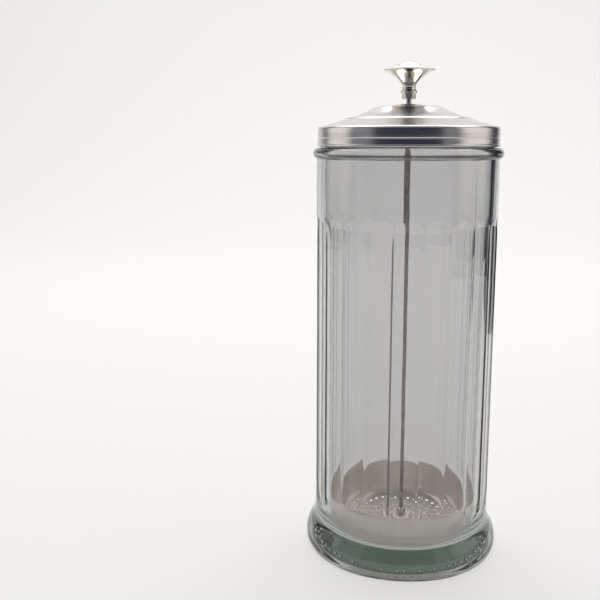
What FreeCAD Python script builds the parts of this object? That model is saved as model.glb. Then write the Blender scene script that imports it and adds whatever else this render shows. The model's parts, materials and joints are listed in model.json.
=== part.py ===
"""Disinfectant jar: a pressed glass jar, a spun steel lid and a lift-out basket on a rod.

Millimetres, +Z up.  The origin is the centre of the jar's foot, on the surface it stands on.
Every piece is round about the Z axis, so most pieces are one revolved outline in the XZ plane.
"""

import FreeCAD, Part
import math
import os

import Sketcher

# Driving dimensions in millimetres, degrees or counts.  Heights are above the table.
DIMENSIONS = {
    # Glass jar, outside
    "punt_radius": 42.6,
    "punt_depth": 1.2,
    "bearing_inner_radius": 49.0,
    "bearing_radius": 55.8,
    "foot_radius": 58.0,
    "foot_widest_height": 6.5,
    "foot_curve_radius": 18.0,
    "foot_slope_angle": 28.0,
    "body_radius": 52.5,
    "panel_count": 21,
    "panel_bottom": 34.0,
    "panel_top": 197.0,
    "first_arris_angle": -45.0,
    "bead_bottom": 234.9,
    "bead_top": 241.3,
    "bead_top_radius": 51.6,
    "bead_curve_radius": 3.3,
    "rim_radius": 50.6,
    "jar_height": 252.4,
    # Glass jar, inside
    "mouth_radius": 47.8,
    "floor_wall_radius": 46.9,
    "floor_height": 12.0,
    "floor_corner_radius": 7.0,
    # Lid
    "sheet_thickness": 0.8,
    "lid_hole_radius": 2.2,
    "plateau_height": 264.6,
    "plateau_radius": 16.8,
    "shoulder_radius": 20.4,
    "shoulder_drop": 0.965,
    "shoulder_curve": 7.2,
    "dish_curve": 51.0,
    "ridge_inner_radius": 33.6,
    "ridge_inner_height": 258.3,
    "ridge_outer_radius": 35.8,
    "ridge_outer_height": 257.5,
    "ridge_curve": 2.1,
    "brim_radius": 50.3,
    "brim_height": 253.3,
    "skirt_radius": 52.0,
    "skirt_top": 251.5,
    "groove_middle": 246.5,
    "groove_half_width": 0.7,
    "groove_floor_half_width": 0.3,
    "groove_depth": 0.3,
    "hem_top": 243.4,
    "hem_bottom": 241.9,
    "hem_curve": 0.9,
    # Rod and fasteners
    "rod_radius": 1.75,
    "rod_bottom": 12.7,
    "rod_top": 281.5,
    "rod_chamfer": 0.4,
    "nut_flats": 7.0,
    "nut_corners": 7.9,
    "nut_thickness": 3.2,
    "nut_chamfer": 0.45,
    "washer_radius": 4.5,
    "washer_thickness": 0.8,
    "rod_play": 3.5,
    "contact_gap": 0.1,
    "lid_washer_radius": 7.3,
    "lid_washer_bore": 1.83,
    "lid_washer_thickness": 1.0,
    "lid_washer_round": 0.3,
    # Knob
    "knob_bottom": 271.8,
    "knob_bore_depth": 10.0,
    "collar_radius": 4.7,
    "collar_thickness": 1.5,
    "neck_radius": 3.7,
    "neck_height": 3.6,
    "trumpet_lower_radius": 5.5,
    "trumpet_lower_height": 6.6,
    "trumpet_lower_curve": 6.0,
    "trumpet_upper_curve": 22.0,
    "knob_radius": 14.9,
    "knob_brim_height": 12.7,
    "knob_brim_thickness": 0.45,
    "knob_step_radius": 11.4,
    "knob_step_height": 14.4,
    "button_radius": 6.9,
    "button_height": 15.8,
    "knob_step_rise": 0.35,
    "button_curve": 11.5,
    "knob_height": 18.1,
    # Basket
    "basket_radius": 45.3,
    "basket_sheet": 0.7,
    "basket_bottom": 12.3,
    "basket_top": 34.3,
    "basket_corner": 5.0,
    "boss_radius": 8.0,
    "boss_foot_radius": 11.5,
    "boss_rise": 4.9,
    "drain_hole_radius": 1.6,
}

# Rings of drain holes in the basket's floor: (radius of the ring, number of holes).
DRAIN_RINGS = {"inner": (16.0, 10), "second": (22.5, 16), "third": (29.0, 22), "outer": (35.5, 28)}

doc = FreeCAD.newDocument("disinfectant_jar")
sheet = doc.addObject("Spreadsheet::Sheet", "Sizes")


def fill_sheet():
    """Write every driving dimension to the sheet as plain text with an alias."""
    values = dict(DIMENSIONS)
    for name, (radius, count) in DRAIN_RINGS.items():
        values["drain_radius_" + name] = radius
        values["drain_count_" + name] = count
    for row, (alias, value) in enumerate(values.items(), start=1):
        sheet.set("A%d" % row, alias)
        sheet.set("B%d" % row, str(value))
        sheet.setAlias("B%d" % row, alias)
    doc.recompute()


def bound(expression):
    """Give an expression's aliases their sheet's name, as setExpression needs."""
    words = []
    word = ""
    for character in expression + " ":
        if character.isalnum() or character == "_":
            word += character
            continue
        words.append("Sizes." + word if sheet.getCellFromAlias(word or "-") else word)
        words.append(character)
        word = ""
    return "".join(words).strip()


def value_of(expression):
    """The number that an expression of sheet aliases has now."""
    number = sheet.evalExpression(bound(expression))
    return float(getattr(number, "Value", number))


def new_body(label, height="0"):
    """An empty body whose own origin stands at the given height on the Z axis."""
    body = doc.addObject("PartDesign::Body", label)
    body.Label = label
    if height != "0":
        body.setExpression("Placement.Base.z", bound(height))
    return body


def origin_feature(body, role):
    """One of the body's own origin planes or axes, such as XZ_Plane or Z_Axis."""
    return next(item for item in body.Origin.OriginFeatures if item.Role == role)


def new_sketch(body, name, plane, height="0"):
    """A sketch on one of the body's own origin planes, raised along the plane's normal."""
    sketch = body.newObject("Sketcher::SketchObject", name)
    sketch.AttachmentSupport = [(origin_feature(body, plane), "")]
    sketch.MapMode = "FlatFace"
    if height != "0":
        sketch.setExpression("AttachmentOffset.Base.z", bound(height))
    return sketch


def constrain(sketch, kind, geometry, name, expression):
    """Add a driving constraint and bind it to the sheet."""
    index = sketch.addConstraint(Sketcher.Constraint(kind, *geometry, value_of(expression)))
    sketch.renameConstraint(index, name)
    sketch.setExpression("Constraints." + name, bound(expression))


def arc_middle(start, end, radius, side):
    """The middle of the short arc between two points.

    side is +1 where the arc bulges to the right of the way from start to end, -1 to the left.
    """
    chord = end.sub(start)
    rise = radius - math.sqrt(radius ** 2 - (chord.Length / 2) ** 2)
    right = FreeCAD.Vector(chord.y, -chord.x, 0).normalize()
    return (start + end) * 0.5 + right * (side * rise)


def add_outline(sketch, corners):
    """Draw a closed outline and tie each corner and arc radius to the sheet.

    Each corner is (x, y) or (x, y, arc radius, side) as expressions.  The last two describe an
    arc from that corner to the next one; without them the edge is straight.
    """
    points = [FreeCAD.Vector(value_of(corner[0]), value_of(corner[1]), 0) for corner in corners]
    edges = []
    for number, corner in enumerate(corners):
        start = points[number]
        end = points[(number + 1) % len(corners)]
        if len(corner) == 2:
            index = sketch.addGeometry(Part.LineSegment(start, end), False)
            edges.append((index, 1, 2))
            continue
        middle = arc_middle(start, end, value_of(corner[2]), corner[3])
        # A sketch keeps its arcs anticlockwise, so one that bulges left is drawn backwards.
        forward = corner[3] > 0
        arc = Part.Arc(start, middle, end) if forward else Part.Arc(end, middle, start)
        index = sketch.addGeometry(arc, False)
        edges.append((index, 1, 2) if forward else (index, 2, 1))
    for number, corner in enumerate(corners):
        index, first, last = edges[number]
        following, following_first, _ = edges[(number + 1) % len(corners)]
        sketch.addConstraint(
            Sketcher.Constraint("Coincident", index, last, following, following_first))
        place_corner(sketch, number, (index, first), corner)
        if len(corner) > 2:
            constrain(sketch, "Radius", (index,), "arc%d" % number, corner[2])


def place_corner(sketch, number, vertex, corner):
    """Fix one corner's distance from both sketch axes."""
    for kind, axis, label, expression in (("DistanceX", -2, "x", corner[0]),
                                          ("DistanceY", -1, "y", corner[1])):
        if expression == "0":
            sketch.addConstraint(Sketcher.Constraint("PointOnObject", *vertex, axis))
        else:
            name = "%s%d" % (label, number)
            constrain(sketch, kind, (-1, 1) + vertex, name, expression)


def revolve(body, corners):
    """Turn an outline of (radius, height) corners a full turn about the body's Z axis."""
    sketch = new_sketch(body, body.Label + "_outline", "XZ_Plane")
    add_outline(sketch, corners)
    turned = body.newObject("PartDesign::Revolution", body.Label + "_turned")
    turned.Profile = sketch
    turned.ReferenceAxis = (sketch, ["V_Axis"])
    turned.Angle = 360.0
    doc.recompute()
    return turned


def pocket_ring(body, sketch, depth, count):
    """Cut a sketch upwards by a depth, and repeat the cut evenly round the Z axis."""
    before = body.Shape.Volume
    cut = body.newObject("PartDesign::Pocket", sketch.Name + "_cut")
    cut.Profile = sketch
    cut.Reversed = True
    cut.setExpression("Length", bound(depth))
    doc.recompute()
    pattern = body.newObject("PartDesign::PolarPattern", sketch.Name + "_ring")
    pattern.Originals = [cut]
    pattern.Axis = (origin_feature(body, "Z_Axis"), [""])
    pattern.Angle = 360.0
    pattern.setExpression("Occurrences", bound(count))
    body.Tip = pattern
    doc.recompute()
    removed = before - body.Shape.Volume
    if removed < 0.1:
        raise RuntimeError("%s cut nothing from %s" % (sketch.Name, body.Label))
    print("%-24s removed %9.2f mm3" % (sketch.Name, removed))


def cut_flats(body, distance, outside, bottom, length, count):
    """Cut evenly spaced flats, each at a distance from the Z axis."""
    sketch = new_sketch(body, body.Label + "_flat", "XY_Plane", bottom)
    half_width = "(%s) * tan(180 deg / %s) * 1.05" % (outside, count)
    corners = [(distance, "0 - " + half_width), ("(%s) + 3" % outside, "0 - " + half_width),
               ("(%s) + 3" % outside, half_width), (distance, half_width)]
    add_outline(sketch, corners)
    pocket_ring(body, sketch, length, count)


def drill_ring(body, name, hole_radius, ring_radius, count, bottom, depth):
    """Drill one ring of round holes up through the body."""
    sketch = new_sketch(body, "%s_%s" % (body.Label, name), "XY_Plane", bottom)
    centre = FreeCAD.Vector(value_of(ring_radius), 0, 0)
    hole = Part.Circle(centre, FreeCAD.Vector(0, 0, 1), value_of(hole_radius))
    index = sketch.addGeometry(hole, False)
    sketch.addConstraint(Sketcher.Constraint("PointOnObject", index, 3, -1))
    constrain(sketch, "DistanceX", (-1, 1, index, 3), "ring_radius", ring_radius)
    constrain(sketch, "Radius", (index,), "hole_radius", hole_radius)
    pocket_ring(body, sketch, depth, count)


def make_glass_jar():
    """Pressed glass: a flared foot, flat panels, a bead under the lid and a plain rim."""
    body = new_body("glass_jar")
    punt_run = "(bearing_inner_radius - punt_radius)"
    punt_curve = "(%s ^ 2 + punt_depth ^ 2) / (2 * punt_depth)" % punt_run
    inset = "(foot_radius - bearing_radius)"
    toe_curve = "(%s ^ 2 + foot_widest_height ^ 2) / (2 * %s)" % (inset, inset)
    cosine = "cos(foot_slope_angle * 1 deg)"
    sine = "sin(foot_slope_angle * 1 deg)"
    tangent = "tan(foot_slope_angle * 1 deg)"
    curve_inset = "foot_curve_radius * (1 - %s)" % cosine
    slope_start_radius = "foot_radius - " + curve_inset
    slope_start_height = "foot_widest_height + foot_curve_radius * " + sine
    slope_end_radius = "body_radius + " + curve_inset
    slope_rise = "(foot_radius - body_radius - 2 * %s) / %s" % (curve_inset, tangent)
    slope_end_height = "%s + %s" % (slope_start_height, slope_rise)
    flare_top = "%s + foot_curve_radius * %s" % (slope_end_height, sine)
    rim_curve = "(rim_radius - mouth_radius) / 2"
    rim_shoulder = "jar_height - " + rim_curve
    corner_inset = "floor_wall_radius - floor_corner_radius"
    revolve(body, [
        ("0", "punt_depth"),
        ("punt_radius", "punt_depth", punt_curve, 1),
        ("bearing_inner_radius", "0"),
        ("bearing_radius", "0", toe_curve, 1),
        ("foot_radius", "foot_widest_height", "foot_curve_radius", 1),
        (slope_start_radius, slope_start_height),
        (slope_end_radius, slope_end_height, "foot_curve_radius", -1),
        ("body_radius", flare_top),
        ("body_radius", "bead_bottom", "bead_curve_radius", 1),
        ("bead_top_radius", "bead_top"),
        ("rim_radius", "bead_top"),
        ("rim_radius", rim_shoulder, rim_curve + " * 1.0001", 1),
        ("mouth_radius", rim_shoulder),
        ("floor_wall_radius", "floor_height + floor_corner_radius", "floor_corner_radius", -1),
        (corner_inset, "floor_height"),
        ("0", "floor_height"),
    ])
    panel_distance = "body_radius * cos(180 deg / panel_count)"
    cut_flats(body, panel_distance, "body_radius", "panel_bottom", "panel_top - panel_bottom",
              "panel_count")
    half_panel = 180.0 / value_of("panel_count")
    turn = value_of("first_arris_angle") + half_panel
    body.Placement.Rotation = FreeCAD.Rotation(FreeCAD.Vector(0, 0, 1), turn)
    return body


def make_lid_shell():
    """Spun sheet: plateau, dished cone, raised ridge, outer cone and a skirt with a hem."""
    body = new_body("lid_shell")
    sheet_drop = " - sheet_thickness"
    corner_inset = "(skirt_radius - brim_radius)"
    corner_drop = "(brim_height - skirt_top)"
    corner_curve = "(%s ^ 2 + %s ^ 2) / (2 * %s)" % (corner_inset, corner_drop, corner_inset)
    shoulder_height = "plateau_height - shoulder_drop"
    skirt_inside = "skirt_radius - sheet_thickness"
    revolve(body, [
        ("lid_hole_radius", "plateau_height" + sheet_drop),
        ("plateau_radius", "plateau_height" + sheet_drop, "shoulder_curve", -1),
        ("shoulder_radius", shoulder_height + sheet_drop, "dish_curve", 1),
        ("ridge_inner_radius", "ridge_inner_height" + sheet_drop, "ridge_curve", -1),
        ("ridge_outer_radius", "ridge_outer_height" + sheet_drop),
        ("brim_radius - sheet_thickness / 2", "brim_height" + sheet_drop),
        (skirt_inside, "skirt_top - sheet_thickness / 2"),
        (skirt_inside, "hem_bottom"),
        ("skirt_radius", "hem_bottom", "hem_curve", 1),
        ("skirt_radius", "hem_top"),
        ("skirt_radius", "groove_middle - groove_half_width"),
        ("skirt_radius - groove_depth", "groove_middle - groove_floor_half_width"),
        ("skirt_radius - groove_depth", "groove_middle + groove_floor_half_width"),
        ("skirt_radius", "groove_middle + groove_half_width"),
        ("skirt_radius", "skirt_top", corner_curve, 1),
        ("brim_radius", "brim_height"),
        ("ridge_outer_radius", "ridge_outer_height", "ridge_curve", 1),
        ("ridge_inner_radius", "ridge_inner_height", "dish_curve", -1),
        ("shoulder_radius", shoulder_height, "shoulder_curve", 1),
        ("plateau_radius", "plateau_height"),
        ("lid_hole_radius", "plateau_height"),
    ])
    return body


def make_washer(label, height, radius, bore, thickness):
    """A flat washer with its bottom face at a height."""
    body = new_body(label, height)
    edge = "lid_washer_round"
    revolve(body, [
        (bore, "0"),
        (radius, "0"),
        (radius, "%s - %s" % (thickness, edge), edge, 1),
        ("%s - %s" % (radius, edge), thickness),
        (bore, thickness),
    ])
    return body


def make_nut(label, height):
    """A hexagon nut, chamfered at both ends, with its bottom face at a height."""
    body = new_body(label, height)
    face_radius = "nut_flats / 2 - 0.1"
    corner_radius = "nut_corners / 2"
    revolve(body, [
        ("rod_radius", "0"),
        (face_radius, "0"),
        (corner_radius, "nut_chamfer"),
        (corner_radius, "nut_thickness - nut_chamfer"),
        (face_radius, "nut_thickness"),
        ("rod_radius", "nut_thickness"),
    ])
    cut_flats(body, "nut_flats / 2", corner_radius, "0", "nut_thickness", "6")
    return body


def make_knob():
    """A turned mushroom knob: collar, neck, trumpet, thin brim and a stepped, domed top."""
    body = new_body("knob", "knob_bottom")
    upper_chord = ("trumpet_upper_curve", -1)
    brim_top = "knob_brim_height + knob_brim_thickness"
    revolve(body, [
        ("rod_radius", "0"),
        ("collar_radius", "0"),
        ("collar_radius", "collar_thickness"),
        ("neck_radius", "neck_height", "trumpet_lower_curve", -1),
        ("trumpet_lower_radius", "trumpet_lower_height") + upper_chord,
        ("knob_radius", "knob_brim_height"),
        ("knob_radius", brim_top),
        ("knob_step_radius", "knob_step_height - knob_step_rise"),
        ("knob_step_radius", "knob_step_height"),
        ("button_radius", "button_height - knob_step_rise"),
        ("button_radius", "button_height", "button_curve", 1),
        ("0", "knob_height"),
        ("0", "knob_bore_depth + rod_radius / 2"),
        ("rod_radius", "knob_bore_depth"),
    ])
    return body


def make_lift_rod():
    """A straight wire rod, chamfered at both ends."""
    body = new_body("lift_rod", "rod_bottom")
    length = "rod_top - rod_bottom"
    revolve(body, [
        ("0", "0"),
        ("rod_radius - rod_chamfer", "0"),
        ("rod_radius", "rod_chamfer"),
        ("rod_radius", length + " - rod_chamfer"),
        ("rod_radius - rod_chamfer", length),
        ("0", length),
    ])
    return body


def make_basket():
    """A drawn cup with a raised boss round the rod and rings of drain holes in its floor."""
    body = new_body("basket", "basket_bottom")
    wall_inside = "basket_radius - basket_sheet"
    wall_height = "basket_top - basket_bottom"
    inner_corner = "basket_corner - basket_sheet"
    revolve(body, [
        ("rod_radius", "boss_rise"),
        ("boss_radius", "boss_rise"),
        ("boss_foot_radius", "0"),
        ("basket_radius - basket_corner", "0", "basket_corner", 1),
        ("basket_radius", "basket_corner"),
        ("basket_radius", wall_height),
        (wall_inside, wall_height),
        (wall_inside, "basket_corner", inner_corner, -1),
        ("basket_radius - basket_corner", "basket_sheet"),
        ("boss_foot_radius + basket_sheet / 3", "basket_sheet"),
        ("boss_radius + basket_sheet / 3", "boss_rise + basket_sheet"),
        ("rod_radius", "boss_rise + basket_sheet"),
    ])
    for name in DRAIN_RINGS:
        drill_ring(body, "drain_" + name, "drain_hole_radius", "drain_radius_" + name,
                   "drain_count_" + name, "0", "basket_sheet")
    return body


def make_parts():
    """Build every piece at its place in the closed jar."""
    boss_bottom = "basket_bottom + boss_rise"
    boss_top = boss_bottom + " + basket_sheet"
    lower_washer = boss_bottom + " - washer_thickness"
    upper_nut = boss_top + " + washer_thickness"
    lid_underside = "plateau_height - sheet_thickness"
    stop_washer = lid_underside + " - contact_gap - rod_play - washer_thickness"
    stop_nut = stop_washer + " - nut_thickness"
    return [
        make_glass_jar(),
        make_lid_shell(),
        make_washer("lid_washer", "plateau_height + contact_gap", "lid_washer_radius",
                    "lid_washer_bore", "lid_washer_thickness"),
        make_lift_rod(),
        make_knob(),
        make_nut("knob_nut", "knob_bottom - nut_thickness"),
        make_washer("stop_washer", stop_washer, "washer_radius", "rod_radius",
                    "washer_thickness"),
        make_nut("stop_nut", stop_nut),
        make_basket(),
        make_nut("basket_upper_nut", upper_nut),
        make_washer("basket_upper_washer", boss_top, "washer_radius", "rod_radius",
                    "washer_thickness"),
        make_washer("basket_lower_washer", lower_washer, "washer_radius", "rod_radius",
                    "washer_thickness"),
        make_nut("basket_lower_nut", lower_washer + " - nut_thickness"),
    ]


def check_document(bodies):
    """Stop if any object failed, or if a piece is not one valid solid."""
    for item in doc.Objects:
        if "Invalid" in item.State or "Error" in item.State:
            raise RuntimeError("%s failed to compute" % item.Name)
    for body in bodies:
        shape = body.Shape
        if shape.isNull() or not shape.isValid() or len(shape.Solids) != 1:
            raise RuntimeError("%s is not one valid solid" % body.Label)


def export_parts(bodies):
    """Write one STEP file for each piece, named after its node."""
    os.makedirs("parts", exist_ok=True)
    for body in bodies:
        body.Shape.exportStep("parts/%s.step" % body.Label)
        box = body.Shape.optimalBoundingBox()
        print("%-20s z %7.2f to %7.2f  radius %6.2f  volume %10.1f mm3"
              % (body.Label, box.ZMin, box.ZMax, box.XMax, body.Shape.Volume))


fill_sheet()
pieces = make_parts()
doc.recompute()
check_document(pieces)
export_parts(pieces)
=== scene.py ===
"""Looks of the disinfectant jar: glass, spun lid, plated knob, rod and basket.

Outlines are in millimetres, as (radius, height) pairs in the part's own frame, and are turned
about Z.  The stage, the lights and the camera are in metres.
"""

import json
import math

import bmesh
import bpy
import numpy as np
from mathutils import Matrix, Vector


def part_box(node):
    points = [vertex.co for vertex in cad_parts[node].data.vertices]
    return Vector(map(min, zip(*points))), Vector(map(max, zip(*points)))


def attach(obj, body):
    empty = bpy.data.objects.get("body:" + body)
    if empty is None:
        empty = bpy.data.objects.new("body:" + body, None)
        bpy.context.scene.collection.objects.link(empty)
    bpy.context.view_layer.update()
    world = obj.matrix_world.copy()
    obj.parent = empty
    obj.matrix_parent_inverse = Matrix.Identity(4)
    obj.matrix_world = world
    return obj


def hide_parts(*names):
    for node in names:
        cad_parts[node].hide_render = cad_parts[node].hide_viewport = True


MM = 0.001
TURN = 2 * math.pi
ON_AXIS = 1e-6
STEEL_BORE = 1.78

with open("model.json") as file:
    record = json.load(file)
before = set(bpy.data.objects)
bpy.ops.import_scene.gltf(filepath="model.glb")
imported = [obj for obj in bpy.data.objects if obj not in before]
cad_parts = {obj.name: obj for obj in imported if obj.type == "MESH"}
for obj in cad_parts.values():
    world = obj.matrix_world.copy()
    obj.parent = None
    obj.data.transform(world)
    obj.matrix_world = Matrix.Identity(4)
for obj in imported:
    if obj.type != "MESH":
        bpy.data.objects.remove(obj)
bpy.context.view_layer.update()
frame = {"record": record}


# ---------------------------------------------------------------- sizes read from the frame

def height_span(node):
    """Lowest and highest point of a CAD node, in millimetres."""
    low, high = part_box(node)
    return low.z / MM, high.z / MM


def outer_radius(node):
    """Largest radius of a CAD node that is round about Z, in millimetres."""
    low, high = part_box(node)
    return max(high.x, high.y, -low.x, -low.y) / MM


# ---------------------------------------------------------------- outlines

def arc_points(start, end, radius, side, steps):
    """Points from start up to, but not including, end, along the short arc between them.

    side is +1 where the arc bulges to the right of the way from start to end, -1 to the left.
    """
    start = np.array(start, float)
    end = np.array(end, float)
    chord = end - start
    length = np.linalg.norm(chord)
    right = np.array([chord[1], -chord[0]]) / length
    offset = math.sqrt(max(radius ** 2 - length ** 2 / 4, 0.0))
    centre = (start + end) / 2 - right * side * offset
    first = math.atan2(*(start - centre)[::-1])
    last = math.atan2(*(end - centre)[::-1])
    sweep = (last - first + math.pi) % TURN - math.pi
    angles = first + sweep * np.arange(steps) / steps
    return [(centre[0] + radius * math.cos(a), centre[1] + radius * math.sin(a)) for a in angles]


def trace(corners, closed=True):
    """Turn corners into points.  A corner is (r, z), (r, z, rows) or (r, z, radius, side, rows).

    The last two forms split the edge that follows into rows, along a line or an arc.
    """
    points = []
    count = len(corners) if closed else len(corners) - 1
    for number in range(count):
        corner = corners[number]
        following = corners[(number + 1) % len(corners)][:2]
        if len(corner) == 5:
            points += arc_points(corner[:2], following, *corner[2:])
            continue
        rows = corner[2] if len(corner) == 3 else 1
        for row in range(rows):
            share = row / rows
            points.append((corner[0] + (following[0] - corner[0]) * share,
                           corner[1] + (following[1] - corner[1]) * share))
    if not closed:
        points.append(tuple(corners[-1][:2]))
    return points


def soften(points, radius):
    """Round every corner of a closed outline that turns by more than some degrees."""
    steps = 3
    sharpest = 25.0
    most = 0.4  # A rounded corner takes up no more of an edge than this share.
    result = []
    count = len(points)
    for number in range(count):
        before = np.array(points[number - 1])
        here = np.array(points[number])
        after = np.array(points[(number + 1) % count])
        inward = before - here
        outward = after - here
        turn = math.degrees(math.acos(np.clip(
            -inward @ outward / np.linalg.norm(inward) / np.linalg.norm(outward), -1, 1)))
        if turn < sharpest or here[0] < ON_AXIS:
            result.append(tuple(here))
            continue
        reach = min(radius, most * np.linalg.norm(inward), most * np.linalg.norm(outward))
        first = here + inward / np.linalg.norm(inward) * reach
        last = here + outward / np.linalg.norm(outward) * reach
        for step in range(steps + 1):
            t = step / steps
            result.append(tuple(first * (1 - t) ** 2 + here * 2 * t * (1 - t) + last * t ** 2))
    return result


# ---------------------------------------------------------------- meshes

def even_angles(columns):
    """Angles spaced evenly round a whole turn."""
    return np.arange(columns) * TURN / columns


def turned_row(radius, height, angles):
    """Points about Z, from one radius and height or one for each angle, or a point on the axis."""
    ring = np.broadcast_to(radius, angles.shape)
    if ring.max() < ON_AXIS:
        return [(0.0, 0.0, height)]
    heights = np.broadcast_to(height, angles.shape)
    return np.stack([ring * np.cos(angles), ring * np.sin(angles), heights], 1).tolist()


def ring_faces(rings, closed):
    """Faces between rings of vertex indices.  A ring of one index is a point on the axis."""
    faces = []
    following = rings[1:] + rings[:1] if closed else rings[1:]
    for low, high in zip(rings, following):
        columns = max(len(low), len(high))
        if columns == 1:
            continue
        for column in range(columns):
            beside = (column + 1) % columns
            if len(low) == 1:
                faces.append((low[0], high[beside], high[column]))
            elif len(high) == 1:
                faces.append((low[column], low[beside], high[0]))
            else:
                faces.append((low[column], low[beside], high[beside], high[column]))
    return faces


def link_object(name, data):
    """A new object in the scene."""
    item = bpy.data.objects.new(name, data)
    bpy.context.scene.collection.objects.link(item)
    return item


def link_piece(name, mesh, sharp):
    """A smooth-shaded object in the scene, with creases where its faces turn sharply."""
    mesh.shade_smooth()
    mesh.set_sharp_from_angle(angle=math.radians(sharp))
    return link_object(name, mesh)


def new_piece(name, rows, closed=True, sharp=40.0):
    """A piece from rows of points in millimetres.  closed joins the last row to the first."""
    points = []
    rings = []
    for row in rows:
        rings.append(range(len(points), len(points) + len(row)))
        points.extend(row)
    mesh = bpy.data.meshes.new(name)
    mesh.from_pydata((np.asarray(points) * MM).tolist(), [], ring_faces(rings, closed))
    mesh.validate()
    mesh.update()
    return link_piece(name, mesh, sharp)


def lathe(name, points, columns=192, closed=True, sharp=40.0):
    """Turn an outline about Z.  It runs anticlockwise in (r, z), so its faces look outward."""
    angles = even_angles(columns)
    rows = [turned_row(radius, height, angles) for radius, height in points]
    return new_piece(name, rows, closed, sharp)


def stand_for(piece, node, material):
    """Let a piece stand for its CAD node: same body, its own material, and the node hidden."""
    body = next(name for name, nodes in frame["record"]["behaviour"]["bodies"].items()
                if node in nodes)
    piece.data.materials.clear()
    piece.data.materials.append(material)
    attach(piece, body)
    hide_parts(node)


# ---------------------------------------------------------------- node helpers

class Nodes:
    """A short way to write one material's node tree."""

    def __init__(self, name):
        self.material = bpy.data.materials.new(name)
        self.material.use_nodes = True
        self.tree = self.material.node_tree
        self.tree.nodes.clear()
        self.output = self.add("ShaderNodeOutputMaterial")

    def add(self, kind, inputs=None, **settings):
        """Add a node, set its properties, and set or link its inputs."""
        node = self.tree.nodes.new(kind)
        for name, value in settings.items():
            setattr(node, name, value)
        for name, value in (inputs or {}).items():
            if isinstance(value, bpy.types.NodeSocket):
                self.tree.links.new(value, node.inputs[name])
            else:
                node.inputs[name].default_value = value
        return node

    def math(self, operation, first, second=0.0):
        """The result of one Math node."""
        return self.add("ShaderNodeMath", {0: first, 1: second}, operation=operation).outputs[0]

    def ramp(self, value, stops):
        """A colour ramp between two (position, colour) stops."""
        node = self.add("ShaderNodeValToRGB", {"Fac": value})
        for element, (position, colour) in zip(node.color_ramp.elements, stops):
            element.position = position
            element.color = (*colour, 1.0)
        return node.outputs["Color"]

    def noise(self, vector, scale, detail=3.0, roughness=0.5):
        """The grey value of a Noise texture."""
        node = self.add("ShaderNodeTexNoise", {"Vector": vector, "Scale": scale, "Detail": detail,
                                               "Roughness": roughness})
        return node.outputs["Fac"]

    def round_coordinates(self):
        """Object coordinates as sockets: radius from Z, height and angle about Z."""
        place = self.add("ShaderNodeTexCoord").outputs["Object"]
        parts = self.add("ShaderNodeSeparateXYZ", {0: place})
        across, along, height = parts.outputs
        flat = self.add("ShaderNodeCombineXYZ", {0: across, 1: along}).outputs[0]
        radius = self.add("ShaderNodeVectorMath", {0: flat}, operation="LENGTH").outputs["Value"]
        angle = self.math("ARCTAN2", along, across)
        return radius, height, angle

    def stretched(self, *pairs):
        """One vector from three (socket, scale) pairs."""
        parts = [self.math("MULTIPLY", socket, scale) for socket, scale in pairs]
        return self.add("ShaderNodeCombineXYZ", dict(enumerate(parts))).outputs[0]

    def spread(self, value, source, target, **settings):
        """A value carried from one (low, high) range to another."""
        return self.add("ShaderNodeMapRange", {
            "Value": value, "From Min": source[0], "From Max": source[1],
            "To Min": target[0], "To Max": target[1]}, **settings).outputs["Result"]

    def bump(self, height, strength, distance):
        """The normal of a surface raised by a height socket, by up to a distance in metres."""
        return self.add("ShaderNodeBump", {"Strength": strength, "Distance": distance,
                                           "Height": height}).outputs["Normal"]

    def metal(self, colour, roughness, normal, **more):
        """A finished metal, from its colour, roughness and normal sockets."""
        surface = self.add("ShaderNodeBsdfPrincipled", {
            "Base Color": colour, "Metallic": 1.0, "Roughness": roughness, "Normal": normal,
            **more})
        return self.finish(surface.outputs[0])

    def finish(self, shader, volume=None):
        """Link the surface and volume, and give back the material."""
        self.tree.links.new(shader, self.output.inputs["Surface"])
        if volume is not None:
            self.tree.links.new(volume, self.output.inputs["Volume"])
        return self.material


# ---------------------------------------------------------------- materials

def make_glass():
    """Pressed soda-lime glass: smoky skin, green in depth, and shadows that let light through."""
    tree = Nodes("pressed_glass")
    place = tree.add("ShaderNodeTexCoord").outputs["Object"]
    surface = tree.add("ShaderNodeBsdfPrincipled", {
        "Base Color": (0.765, 0.755, 0.765, 1.0),
        "Roughness": 0.0,
        "IOR": 1.51,
        "Transmission Weight": 1.0,
        "Normal": tree.bump(tree.noise(place, 70.0, 1.0), 0.03, 0.0004),
    })
    clear = tree.add("ShaderNodeBsdfTransparent", {"Color": (0.93, 0.95, 0.94, 1.0)})
    light = tree.add("ShaderNodeLightPath")
    mixed = tree.add("ShaderNodeMixShader", {
        "Fac": light.outputs["Is Shadow Ray"], 1: surface.outputs[0], 2: clear.outputs[0]})
    depth = tree.add("ShaderNodeVolumeAbsorption", {
        "Color": (0.06, 0.23, 0.11, 1.0), "Density": 18.0})
    return tree.finish(mixed.outputs[0], depth.outputs[0])


def make_spun_steel():
    """Satin stainless sheet with the fine rings that spinning leaves."""
    tree = Nodes("spun_steel")
    radius, height, angle = tree.round_coordinates()
    rings = tree.noise(tree.stretched((radius, 5200.0), (height, 5200.0), (angle, 1.3)),
                       1.0, 4.0, 0.6)
    bands = tree.noise(tree.stretched((radius, 420.0), (height, 420.0), (angle, 0.8)), 1.0, 2.0)
    colour = tree.ramp(bands, [(0.3, (0.56, 0.545, 0.54)), (0.7, (0.66, 0.65, 0.645))])
    tangent = tree.add("ShaderNodeTangent", direction_type="RADIAL", axis="Z")
    return tree.metal(colour, tree.spread(rings, (0.3, 0.7), (0.15, 0.26)),
                      tree.bump(rings, 0.13, 0.00004),
                      Anisotropic=0.55, Tangent=tangent.outputs["Tangent"])


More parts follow.
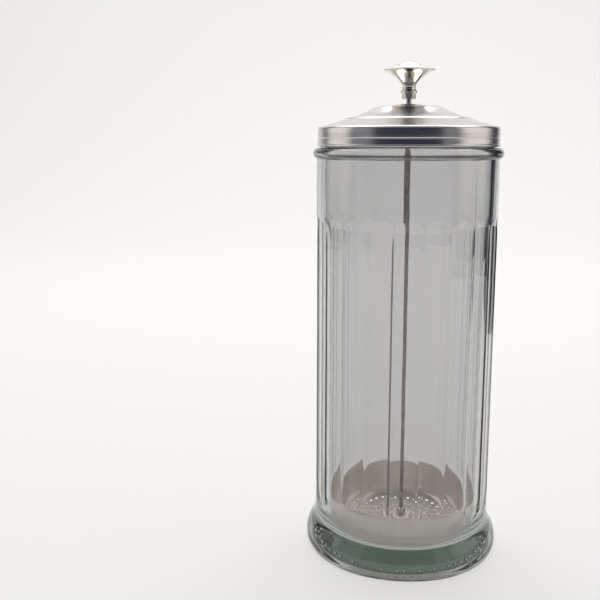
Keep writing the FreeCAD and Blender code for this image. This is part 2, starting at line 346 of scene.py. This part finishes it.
def make_knob_plating():
    """Polished nickel plate with faint polishing marks and finger smudges."""
    tree = Nodes("nickel_plate")
    place = tree.add("ShaderNodeTexCoord").outputs["Object"]
    smudge = tree.noise(place, 120.0, 4.0, 0.6)
    radius, height, angle = tree.round_coordinates()
    marks = tree.noise(tree.stretched((radius, 3000.0), (height, 3000.0), (angle, 1.0)), 1.0, 2.0)
    colour = tree.ramp(smudge, [(0.3, (0.70, 0.665, 0.61)), (0.8, (0.62, 0.59, 0.54))])
    return tree.metal(colour, tree.spread(smudge, (0.35, 0.75), (0.05, 0.15)),
                      tree.bump(marks, 0.06, 0.00003))


def make_grained_steel(name, dark, light, painted_lit_above):
    """Grainy steel: the given colours below some height in millimetres, and a brighter copy above
    it, a painted highlight for the light on what stands above the lid.
    """
    tree = Nodes(name)
    place = tree.add("ShaderNodeTexCoord").outputs["Object"]
    height = tree.add("ShaderNodeSeparateXYZ", {0: place}).outputs[2]
    grain = tree.noise(place, 900.0, 3.0)
    patches = tree.noise(place, 160.0, 3.0)
    drawn = tree.ramp(patches, [(0.3, dark), (0.75, light)])
    # Painted light: this brighter copy of the colours is painted on above the height, where the
    # parts catch bright light.
    painted_lit_colour = tree.ramp(patches, [(0.3, (0.70, 0.68, 0.65)), (0.75, (0.86, 0.84, 0.81))])
    share = tree.math("GREATER_THAN", height, painted_lit_above * MM)
    colour = tree.add("ShaderNodeMix", {0: share, 6: drawn, 7: painted_lit_colour},
                      data_type="RGBA").outputs[2]
    return tree.metal(colour, tree.spread(grain, (0.3, 0.7), (0.22, 0.42)),
                      tree.bump(grain, 0.2, 0.00005))


def make_basket_steel():
    """Drawn stainless sheet: satin, with upright draw marks on the wall and a few scuffs."""
    tree = Nodes("basket_steel")
    radius, height, angle = tree.round_coordinates()
    draw = tree.noise(tree.stretched((angle, 26.0), (height, 30.0), (radius, 300.0)), 1.0, 4.0, 0.6)
    fine = tree.noise(tree.stretched((radius, 2600.0), (height, 2600.0), (angle, 3.0)), 1.0, 3.0)
    colour = tree.ramp(draw, [(0.3, (0.87, 0.80, 0.755)), (0.7, (0.93, 0.86, 0.815))])
    return tree.metal(colour, tree.spread(fine, (0.3, 0.7), (0.28, 0.42)),
                      tree.bump(fine, 0.2, 0.00005))


# ---------------------------------------------------------------- glass jar

JAR_TOP = height_span("glass_jar")[1]
FOOT_RADIUS = outer_radius("glass_jar")
BODY_RADIUS = 52.5
PANELS = 21
FIRST_ARRIS = math.radians(-45.0)
PANEL_BOTTOM = 34.0
PANEL_TOP = 197.0
PANEL_COVE = 22.0
ARRIS_ROUND = 3.0
PANEL_BLEND = 0.06
PANEL_SPAN = (20.0, 225.0)
HALF_PANEL = math.pi / PANELS
COLUMNS = PANELS * 24
EVEN_BELOW = 8.0
DENSE_RISE = 18.0
DENSE_PULL = 0.85
RIB_RISE = 0.19
RIB_SPREAD = 0.82
RIB_FADE = 6.0
STIPPLES = 63
STIPPLE_RING = 40.0
STIPPLE_REACH = 1.0
STIPPLE_RISE = 0.7
STIPPLE_SPREAD = 0.16
UNDERSIDE_TOP = 3.0
SEAMS = 3
SEAM_SPAN = (2.0, 233.0)
SEAM_RISE = 0.10
SEAM_SPREAD = 0.28
OUTER_RIPPLE = 0.045
INNER_RIPPLE = 0.11
INNER_RIPPLE_FROM = 20.0
RIPPLE_FADE = 10.0


def jar_outline():
    """The jar's outline from the middle of the underside, round the outside, to the floor."""
    slope = math.radians(28.0)
    curve = 18.0
    widest = 6.5
    inset = curve * (1 - math.cos(slope))
    slope_start = (FOOT_RADIUS - inset, widest + curve * math.sin(slope))
    slope_rise = (FOOT_RADIUS - BODY_RADIUS - 2 * inset) / math.tan(slope)
    slope_end = (BODY_RADIUS + inset, slope_start[1] + slope_rise)
    flare_top = slope_end[1] + curve * math.sin(slope)
    toe = 55.8
    toe_curve = ((FOOT_RADIUS - toe) ** 2 + widest ** 2) / (2 * (FOOT_RADIUS - toe))
    punt = 1.2
    bearing = 49.0
    punt_curve = 54.2
    bead_bottom = 234.9
    bead_top = 241.3
    bead_curve = 3.3
    rim = 50.6
    rim_round = 1.4
    mouth = 47.8
    wall = 46.9
    floor = 12.0
    corner = 7.0
    return trace([
        (0.0, punt, 5),
        (38.4, punt, 14),
        (42.3, punt, 2),
        (42.6, punt - 0.12, 2),
        (43.35, punt - 0.85, 2),
        (43.9, punt - 0.95, punt_curve, 1, 8),
        (bearing, 0.0, 3),
        (toe, 0.0, toe_curve, 1, 7),
        (FOOT_RADIUS, widest, curve, 1, 9),
        (slope_start[0], slope_start[1], 3),
        (slope_end[0], slope_end[1], curve, -1, 7),
        (BODY_RADIUS, flare_top, 10),
        (BODY_RADIUS, PANEL_BOTTOM + 1.0, 28),
        (BODY_RADIUS, PANEL_TOP - 1.0, 9),
        (BODY_RADIUS, PANEL_TOP + 7.0, 7),
        (BODY_RADIUS, bead_bottom, bead_curve, 1, 14),
        (rim + 1.0, bead_top, 2),
        (rim, bead_top, 2),
        (rim, JAR_TOP - rim_round, rim_round * 1.0001, 1, 8),
        (mouth, JAR_TOP - rim_round, 26),
        (wall, floor + corner, corner, -1, 7),
        (wall - corner, floor, 7),
        (0.0, floor),
    ], closed=False)


def panel_radius(angles):
    """Radius of the flat-panelled section at each angle, with rounded arrises."""
    flat = BODY_RADIUS * math.cos(HALF_PANEL)
    across = (angles - FIRST_ARRIS) % (2 * HALF_PANEL)
    from_arris = np.minimum(across, 2 * HALF_PANEL - across)
    centre = (flat - ARRIS_ROUND) / math.cos(HALF_PANEL)
    touch = math.atan2(ARRIS_ROUND * math.sin(HALF_PANEL),
                       centre + ARRIS_ROUND * math.cos(HALF_PANEL))
    straight = flat / np.cos(HALF_PANEL - from_arris)
    rounded = centre * np.cos(from_arris) + np.sqrt(
        np.maximum(ARRIS_ROUND ** 2 - (centre * np.sin(from_arris)) ** 2, 0.0))
    return np.where(from_arris < touch, rounded, straight)


def soft_minimum(first, second, width):
    """The smaller of two values, with a smooth change of width between them."""
    share = np.clip(0.5 + (second - first) / (2 * width), 0, 1)
    return second + (first - second) * share - width * share * (1 - share)


def ripple(angles, height, seed):
    """The slow waviness of pressed glass, about -1 to 1."""
    total = np.zeros_like(angles)
    for turns, wave, phase, weight in ((3, 61.0, 0.3, 0.30), (5, 37.0, 1.9, 0.26),
                                       (8, 23.0, 4.1, 0.18), (13, 17.0, 2.2, 0.14),
                                       (21, 12.5, 5.3, 0.08), (34, 9.0, 0.9, 0.04)):
        total += weight * np.sin(turns * angles + TURN * height / wave + phase + seed)
    return total


def dense_angles(uniform):
    """Column angles drawn towards the arrises, where the surface bends most."""
    across = ((uniform - FIRST_ARRIS) / (2 * HALF_PANEL)) % 1.0
    drawn = across - DENSE_PULL * np.sin(TURN * across) / TURN
    return uniform + (drawn - across) * 2 * HALF_PANEL


def jar_ring(radius, height, inside, uniform):
    """One ring of the jar, with panels, ribs, seams, stipples and ripple."""
    share = 0.0 if inside else np.clip((height - EVEN_BELOW) / DENSE_RISE, 0, 1)
    share = share * share * (3 - 2 * share)
    angles = uniform * (1 - share) + dense_angles(uniform) * share
    ring = np.full_like(angles, radius)
    heights = np.full_like(angles, height)
    if not inside and PANEL_SPAN[0] < height < PANEL_SPAN[1]:
        ramp = (max(height - PANEL_TOP, 0.0) ** 2 + max(PANEL_BOTTOM - height, 0.0) ** 2)
        flats = panel_radius(angles) + ramp / (2 * PANEL_COVE)
        ring = soft_minimum(ring, flats, PANEL_BLEND)
        from_arris = (angles - FIRST_ARRIS + HALF_PANEL) % (2 * HALF_PANEL) - HALF_PANEL
        above = height - PANEL_BOTTOM + 1.0
        below = PANEL_TOP + 1.0 - height
        fade = np.clip(min(below, above) / RIB_FADE, 0, 1)
        ring = ring + fade * RIB_RISE * np.exp(-(from_arris * BODY_RADIUS / RIB_SPREAD) ** 2 / 2)
    if not inside and SEAM_SPAN[0] < height < SEAM_SPAN[1]:
        seam = (angles - FIRST_ARRIS + math.pi / SEAMS) % (TURN / SEAMS) - math.pi / SEAMS
        ring = ring + SEAM_RISE * np.exp(-(seam * radius / SEAM_SPREAD) ** 2)
        ring = ring + OUTER_RIPPLE * ripple(angles, height, 0.0)
    if inside and height > INNER_RIPPLE_FROM:
        fade = min((JAR_TOP - height) / RIPPLE_FADE,
                   (height - INNER_RIPPLE_FROM) / RIPPLE_FADE, 1.0)
        ring = ring + INNER_RIPPLE * max(fade, 0.0) * ripple(angles, height, 2.6)
    if not inside and height < UNDERSIDE_TOP and abs(radius - STIPPLE_RING) < STIPPLE_REACH:
        row = 1 - ((radius - STIPPLE_RING) / STIPPLE_REACH) ** 2
        local = (angles * STIPPLES / TURN + 0.5) % 1.0 - 0.5
        heights = heights + STIPPLE_RISE * row * np.exp(-(local / STIPPLE_SPREAD) ** 2)
    return turned_row(ring, heights, angles)


def make_jar(material):
    """The whole jar as one closed mesh of about 183,000 triangles."""
    uniform = FIRST_ARRIS + even_angles(COLUMNS)
    points = jar_outline()
    top_row = max(range(len(points)), key=lambda row: points[row][1])
    rows = []
    for number, (radius, height) in enumerate(points):
        if radius < ON_AXIS:
            rows.append(turned_row(radius, height, uniform))
        else:
            rows.append(jar_ring(radius, height, number > top_row, uniform))
    stand_for(new_piece("jar_glass", rows, False, 50.0), "glass_jar", material)


# ---------------------------------------------------------------- lid

def make_lid(material):
    """Spun lid: plateau, dished cone, ridge, outer cone, and a skirt with a groove and a hem."""
    hem, plateau = height_span("lid_shell")
    sheet = 0.8
    hole = 2.2
    plateau_radius = 16.8
    shoulder = 20.4
    shoulder_height = plateau - 0.965
    shoulder_curve = 7.2
    dish_curve = 51.0
    ridge_inner, ridge_inner_height = 33.6, 258.3
    ridge_outer, ridge_outer_height = 35.8, 257.5
    ridge_curve = 2.1
    skirt = 52.0
    inside = skirt - sheet
    groove_middle = 246.5
    groove_floor = skirt - 0.16
    outline = soften(trace([
        (hole, plateau - sheet, 3),
        (plateau_radius, plateau - sheet, shoulder_curve, -1, 6),
        (shoulder, shoulder_height - sheet, dish_curve, 1, 10),
        (ridge_inner, ridge_inner_height - sheet, ridge_curve, -1, 6),
        (ridge_outer, ridge_outer_height - sheet, 4),
        (49.9, 252.5),
        (inside, 251.1, 3),
        (inside, hem + 0.1),
        (inside + 0.35, hem, 2),
        (skirt - 0.15, hem, 0.9, 1, 8),
        (skirt, hem + 1.55),
        (skirt, groove_middle - 0.5),
        (groove_floor, groove_middle - 0.2),
        (groove_floor, groove_middle + 0.2),
        (skirt, groove_middle + 0.5, 2),
        (skirt, 251.5, 1.803, 1, 8),
        (50.3, 253.3, 5),
        (ridge_outer, ridge_outer_height, ridge_curve, 1, 8),
        (ridge_inner, ridge_inner_height, dish_curve, -1, 12),
        (shoulder, shoulder_height, shoulder_curve, 1, 8),
        (plateau_radius, plateau, 3),
        (hole, plateau),
    ]), 0.22)
    piece = lathe("lid_spun_shell", outline, 256, True, 60.0)
    stand_for(piece, "lid_shell", material)


# ---------------------------------------------------------------- fasteners and rod

def make_washer(name, node, bore, material):
    """A flat washer with rounded edges, at its node's place."""
    low, high = height_span(node)
    outer = outer_radius(node)
    outline = soften([(bore, low), (outer, low), (outer, high), (bore, high)], 0.25)
    stand_for(lathe(name, outline, 96), node, material)


def make_nut(name, node, material):
    """A hexagon nut with chamfered corners and a countersunk bore."""
    low, high = height_span(node)
    flats = 3.5
    corners = 3.95
    countersink = STEEL_BORE + 0.35
    blend = 0.05
    lower_half = [(STEEL_BORE, 0.35), (countersink, 0.0), (flats - 0.35, 0.0), (flats - 0.1, 0.03),
                  (flats + 0.1, 0.13), (flats + 0.28, 0.26), (corners, 0.45)]
    outline = [(radius, low + rise) for radius, rise in lower_half]
    outline += [(radius, high - drop) for radius, drop in reversed(lower_half)]
    angles = even_angles(144)
    hexagon = flats / np.cos((angles % (math.pi / 3)) - math.pi / 6)
    rows = []
    for radius, height in outline:
        ring = np.full_like(angles, radius)
        if radius > countersink:
            ring = soft_minimum(ring, hexagon, blend)
        rows.append(turned_row(ring, height, angles))
    stand_for(new_piece(name, rows, True, 35.0), node, material)


def make_rod(material):
    """The wire rod, with a rolled thread at each end."""
    low, high = height_span("lift_rod")
    radius = 1.75
    pitch = 0.7
    step = pitch / 6
    depth = 0.3
    crest = 0.03
    chamfer = 0.4
    end_inset = 0.35
    lower_thread = low + 14.0
    upper_thread = high - 30.0
    heights = [low, low + chamfer]
    heights += list(np.arange(low + chamfer, lower_thread, step))[1:]
    heights += list(np.linspace(lower_thread + 0.5, upper_thread - 0.5, 30))
    heights += list(np.arange(upper_thread, high - chamfer, step)) + [high - chamfer, high]
    angles = even_angles(24)
    rows = [turned_row(0.0, low, angles)]
    for height in heights:
        ring = np.full_like(angles, radius)
        if height <= lower_thread or height >= upper_thread:
            across = (height / pitch - angles / TURN) % 1.0
            ring = radius - depth * np.abs(across * 2 - 1) ** 1.2 + crest
        if height in (low, high):
            ring = ring - end_inset
        rows.append(turned_row(ring, height, angles))
    rows.append(turned_row(0.0, high, angles))
    stand_for(new_piece("lift_rod_wire", rows, False, 50.0), "lift_rod", material)


# ---------------------------------------------------------------- knob

def make_knob(material):
    """The mushroom knob: collar, neck, trumpet, thin brim and a stepped domed top."""
    low, high = height_span("knob")
    outline = soften(trace([
        (STEEL_BORE, low),
        (4.3, low),
        (4.7, low + 0.4, 0.55, 1, 4),
        (4.7, low + 1.3),
        (4.3, low + 1.7, 3.0, -1, 5),
        (3.7, low + 3.6, 6.0, -1, 8),
        (5.5, low + 6.6, 22.0, -1, 16),
        (14.8, low + 12.6),
        (14.9, low + 12.8),
        (14.8, low + 13.15),
        (11.6, low + 14.0),
        (11.2, low + 14.35, 3),
        (7.1, low + 15.4),
        (6.8, low + 15.8, 11.5, 1, 10),
        (0.0, high),
        (0.0, low + 10.9),
        (STEEL_BORE, low + 10.0),
    ]), 0.3)
    piece = lathe("knob_turned", outline, 160, True, 50.0)
    stand_for(piece, "knob", material)


# ---------------------------------------------------------------- basket

BASKET_SHEET = 0.7
BASKET_COLUMNS = 192
BASKET_BORE = 1.85
DRAIN_RINGS = ((16.0, 10), (22.5, 16), (29.0, 22), (35.5, 28))
DRAIN_RADIUS = 1.6
DRAIN_COLUMNS = 20


def add_ring(mesh, centre, radius, height, columns):
    """A ring of bmesh vertices about a centre."""
    ring = []
    for column in range(columns):
        angle = column * TURN / columns
        ring.append(mesh.verts.new(((centre[0] + radius * math.cos(angle)) * MM,
                                    (centre[1] + radius * math.sin(angle)) * MM, height * MM)))
    return ring


def close_ring(mesh, ring):
    """Edges round a ring, for filling the plate between rings."""
    edges = []
    for column, vertex in enumerate(ring):
        beside = ring[(column + 1) % len(ring)]
        edges.append(mesh.edges.get((vertex, beside)) or mesh.edges.new((vertex, beside)))
    return edges


def add_wall(mesh, centre, outline, columns, facing=1):
    """Quads swept round a centre along an outline.  Gives the edges of its first and last ring."""
    rings = [add_ring(mesh, centre, radius, height, columns) for radius, height in outline]
    for first, second in list(zip(rings, rings[1:])):
        low, high = (first, second) if facing > 0 else (second, first)
        for column in range(columns):
            beside = (column + 1) % columns
            mesh.faces.new((low[column], low[beside], high[beside], high[column]))
    return close_ring(mesh, rings[0]), close_ring(mesh, rings[-1])


def make_basket(material):
    """Drawn cup with a boss round the rod and punched, round-edged drain holes."""
    low, high = height_span("basket")
    outer = outer_radius("basket")
    inner = outer - BASKET_SHEET
    floor = low + BASKET_SHEET
    boss = low + 4.9
    boss_top = boss + BASKET_SHEET
    corner = 5.0
    flat_inner = 12.2
    flat_outer = outer - corner
    cup = trace([
        (flat_outer, low, corner, 1, 8),
        (outer, low + corner, 4),
        (outer, high - 0.25),
        (outer - 0.2, high),
        (inner + 0.2, high),
        (inner, high - 0.25, 4),
        (inner, low + corner, corner - BASKET_SHEET, -1, 8),
        (flat_outer, floor),
    ], closed=False)
    middle = trace([
        (flat_inner, floor, 0.6, -1, 3),
        (11.4, floor + 0.35),
        (8.6, boss_top - 0.35, 0.6, 1, 3),
        (8.0, boss_top, 2),
        (BASKET_BORE, boss_top),
        (BASKET_BORE, boss, 2),
        (7.8, boss, 0.6, -1, 3),
        (8.3, boss - 0.35),
        (11.1, low + 0.35, 0.6, 1, 3),
        (flat_inner, low),
    ], closed=False)
    lip = [(DRAIN_RADIUS + 0.35, floor), (DRAIN_RADIUS + 0.12, floor - 0.07),
           (DRAIN_RADIUS, floor - 0.28), (DRAIN_RADIUS, low + 0.08), (DRAIN_RADIUS + 0.08, low)]
    mesh = bmesh.new()
    under_edges, floor_edges = add_wall(mesh, (0, 0), cup, BASKET_COLUMNS)
    middle_top, middle_bottom = add_wall(mesh, (0, 0), middle, BASKET_COLUMNS)
    floor_edges += middle_top
    under_edges += middle_bottom
    for ring_radius, count in DRAIN_RINGS:
        for number in range(count):
            angle = number * TURN / count
            centre = (ring_radius * math.cos(angle), ring_radius * math.sin(angle))
            lip_top, lip_bottom = add_wall(mesh, centre, lip, DRAIN_COLUMNS, facing=-1)
            floor_edges += lip_top
            under_edges += lip_bottom
    bmesh.ops.triangle_fill(mesh, use_beauty=True, edges=floor_edges, normal=(0, 0, 1))
    bmesh.ops.triangle_fill(mesh, use_beauty=True, edges=under_edges, normal=(0, 0, -1))
    bmesh.ops.recalc_face_normals(mesh, faces=mesh.faces)
    data = bpy.data.meshes.new("basket_cup")
    mesh.to_mesh(data)
    mesh.free()
    piece = link_piece("basket_cup", data, 40.0)
    stand_for(piece, "basket", material)


# ---------------------------------------------------------------- stage, light and camera

def plain_material(name, colour, glow=0.0):
    """A soft, even surface for the stage, which may glow a little like a light table."""
    tree = Nodes(name)
    surface = tree.add("ShaderNodeBsdfPrincipled", {
        "Base Color": (*colour, 1.0), "Roughness": 0.9, "Specular IOR Level": 0.1,
        "Emission Color": (1.0, 0.99, 0.98, 1.0), "Emission Strength": glow})
    return tree.finish(surface.outputs[0])


def seen_by(sheet, *kinds):
    """Let only these kinds of ray meet a stage sheet, which then casts no shadow."""
    for kind in ("camera", "diffuse", "glossy", "transmission"):
        setattr(sheet, "visible_" + kind, kind in kinds)
    sheet.visible_shadow = False


def add_sheet(name, outline, left, right, material):
    """A sheet drawn as (depth, height) points and swept from left to right, in metres."""
    vertices = []
    for depth, height in outline:
        vertices += [(left, depth, height), (right, depth, height)]
    faces = [(2 * i, 2 * i + 1, 2 * i + 3, 2 * i + 2) for i in range(len(outline) - 1)]
    data = bpy.data.meshes.new(name)
    data.from_pydata(vertices, [], faces)
    data.shade_smooth()
    data.materials.append(material)
    sheet = link_object(name, data)
    return sheet


def make_stage():
    """A pale floor that curves up into a backdrop, a pale room beyond it, and two dark cards."""
    back = 1.9
    curve = 0.7
    steps = 16
    outline = [(-3.0, 0.0), (back - curve, 0.0)]
    for step in range(1, steps + 1):
        angle = step / steps * math.pi / 2
        outline.append((back - curve + curve * math.sin(angle), curve - curve * math.cos(angle)))
    outline.append((back, 1.8))
    paper = plain_material("studio_paper", (0.28, 0.275, 0.27), 0.60)
    add_sheet("studio_sweep", outline, -1.7, 1.1, paper)
    room = lathe("far_room", trace([(0.0, -2.0), (2600.0, -2.0, 1400.0, 1, 12), (4000.0, 1400.0),
                                    (4000.0, 4000.0)], closed=False), 96, False)
    room.data.materials.append(paper)
    seen_by(room, "camera")
    front = [(-0.9, -0.002), (-3.0, -0.002), (-3.3, 0.3), (-3.4, 2.4)]
    seen_by(add_sheet("front_paper", front, -3.6, 3.6, paper), "camera", "transmission")
    cloth = plain_material("dark_cloth", (0.045, 0.05, 0.08))
    front_card = add_sheet("front_card", [(-1.6, 0.0), (-1.6, 1.5)], -1.5, 1.5, cloth)
    seen_by(front_card, "diffuse", "glossy")
    right_card = add_sheet("right_card", [(0.5, 0.0), (0.5, 0.8)], 0.375, 0.8, cloth)
    seen_by(right_card, "diffuse", "glossy", "transmission")


def add_softbox(name, place, target, size, radiance, colour):
    """A glowing panel facing a point, fading towards its edges like a cloth-fronted lamp."""
    even = 0.45  # This share of the panel, about its middle, glows at full strength.
    wide, tall = size
    data = bpy.data.meshes.new(name)
    data.from_pydata([(-wide / 2, -tall / 2, 0), (wide / 2, -tall / 2, 0),
                      (wide / 2, tall / 2, 0), (-wide / 2, tall / 2, 0)], [], [(0, 1, 2, 3)])
    tree = Nodes(name + "_cloth")
    spot = tree.add("ShaderNodeTexCoord").outputs["Object"]
    across = tree.add("ShaderNodeSeparateXYZ", {0: spot}).outputs
    strength = radiance
    for socket, length in ((across[0], wide), (across[1], tall)):
        fade = tree.spread(tree.math("ABSOLUTE", socket), (length / 2, length / 2 * even),
                           (0.0, 1.0), interpolation_type="SMOOTHSTEP")
        strength = tree.math("MULTIPLY", fade, strength)
    glow = tree.add("ShaderNodeEmission", {"Color": (*colour, 1.0), "Strength": strength})
    data.materials.append(tree.finish(glow.outputs[0]))
    panel = link_object(name, data)
    panel.location = place
    panel.rotation_euler = (Vector(target) - Vector(place)).to_track_quat("-Z", "Y").to_euler()
    seen_by(panel, "diffuse", "glossy", "transmission")


def make_lights():
    """Soft boxes at the sides and above, and a dim room all round."""
    add_softbox("left_box", (-1.35, 0.15, 0.6), (0, 0, 0.25), (1.5, 1.5), 1.1, (1.0, 0.96, 0.91))
    add_softbox("right_box", (1.30, 0.05, 0.6), (0, 0, 0.25), (1.8, 1.5), 1.1, (1.0, 0.95, 0.90))
    add_softbox("top_box", (0.0, 0.9, 1.75), (0.0, 0.6, 0.0), (3.4, 1.8), 4.4, (1.0, 0.985, 0.97))
    world = bpy.data.worlds.new("dim_room")
    world.use_nodes = True
    background = world.node_tree.nodes["Background"]
    background.inputs["Color"].default_value = (0.80, 0.82, 0.88, 1.0)
    background.inputs["Strength"].default_value = 0.35
    bpy.context.scene.world = world


def make_camera():
    """A close view from nearly the lid's height, looking down and a little to the left."""
    down = 10.48
    left = 6.97
    data = bpy.data.cameras.new("view")
    data.sensor_width = 36.0
    data.lens = 52.1
    camera = link_object("view", data)
    camera.location = (0.0, -0.5132, 0.2460)
    camera.rotation_euler = (math.radians(90.0 - down), 0.0, math.radians(left))
    bpy.context.scene.camera = camera


# ---------------------------------------------------------------- the scene

make_camera()
make_stage()
make_lights()
bpy.context.scene.view_settings.view_transform = "Standard"
for limit in ("max_bounces", "transmission_bounces", "transparent_max_bounces"):
    setattr(bpy.context.scene.cycles, limit, 24)

# Painted light: the fasteners above 250 mm take the brighter painted-lit copy of the steel colours.
steel = make_grained_steel("bright_steel", (0.62, 0.60, 0.57), (0.78, 0.76, 0.73), 250.0)
# Painted shade: the rod's dark colours stand in for the dark surroundings it reflects, and above
# 255 mm it takes the brighter painted-lit copy.
wire = make_grained_steel("wire_painted_shade", (0.28, 0.25, 0.235), (0.38, 0.35, 0.33), 255.0)
make_jar(make_glass())
make_lid(make_spun_steel())
make_knob(make_knob_plating())
make_rod(wire)
for washer_node, washer_bore in (("lid_washer", 1.83), ("stop_washer", 1.80),
                                 ("basket_upper_washer", 1.80), ("basket_lower_washer", 1.80)):
    make_washer(washer_node + "_disc", washer_node, washer_bore, steel)
for nut_node in ("knob_nut", "stop_nut", "basket_upper_nut", "basket_lower_nut"):
    make_nut(nut_node + "_hexagon", nut_node, steel)
make_basket(make_basket_steel())
